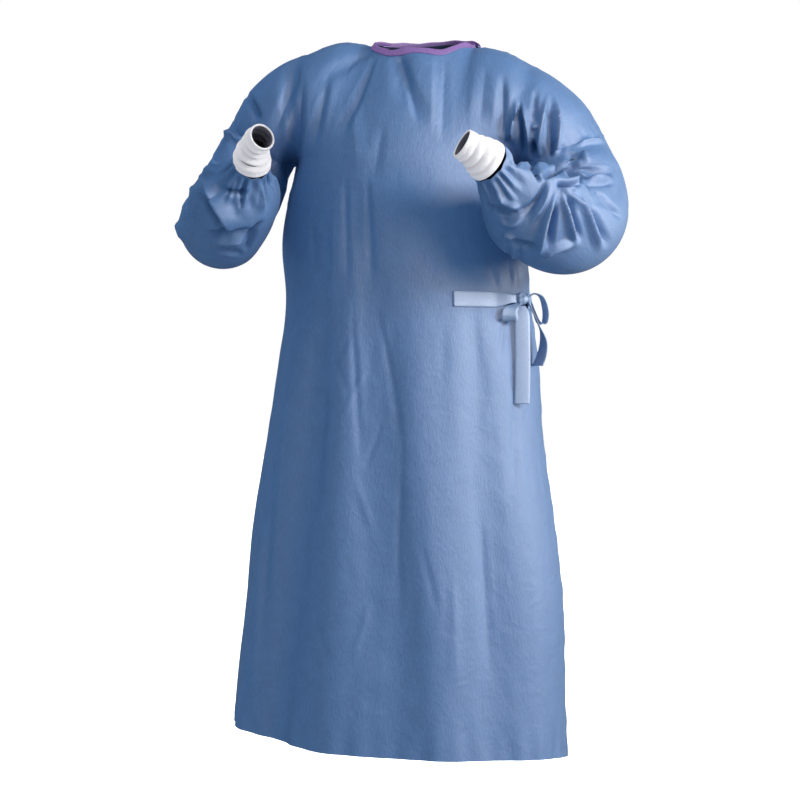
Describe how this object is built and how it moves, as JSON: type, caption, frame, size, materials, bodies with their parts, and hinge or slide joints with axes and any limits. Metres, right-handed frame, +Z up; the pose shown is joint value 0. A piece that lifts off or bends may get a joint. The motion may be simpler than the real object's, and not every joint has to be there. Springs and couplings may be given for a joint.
{
  "type": "surgical gown",
  "caption": "Long-sleeved wrap-around surgical gown, worn shape and hollow, with knit cuffs, neck binding and a waist tie in a bow.",
  "frame": {"origin": "middle of the neck opening at the height of the shoulders, where the wearer carries the gown", "axes": "+Z up, -Y the way the wearer faces, +X the wearer's left"},
  "size_m": [0.7394, 0.5567, 1.2122],
  "materials": {
    "gown_cloth": "matte nonwoven",
    "cuff_knit": "rib knit",
    "binding": "matte edging tape",
    "tie_tape": "matte nonwoven tape"
  },
  "bodies": {
    "root": {"front_panel": "gown_cloth", "back_panel_left": "gown_cloth", "back_panel_right": "gown_cloth", "sleeve_left": "gown_cloth", "sleeve_right": "gown_cloth", "cuff_left": "cuff_knit", "cuff_right": "cuff_knit", "neck_binding": "binding", "tie_tab": "tie_tape", "tie_wrap": "tie_tape", "tie_knot": "tie_tape", "tie_tail_long": "tie_tape", "tie_tail_short": "tie_tape", "tie_loop_front": "tie_tape", "tie_loop_back": "tie_tape"}
  },
  "joints": []
}
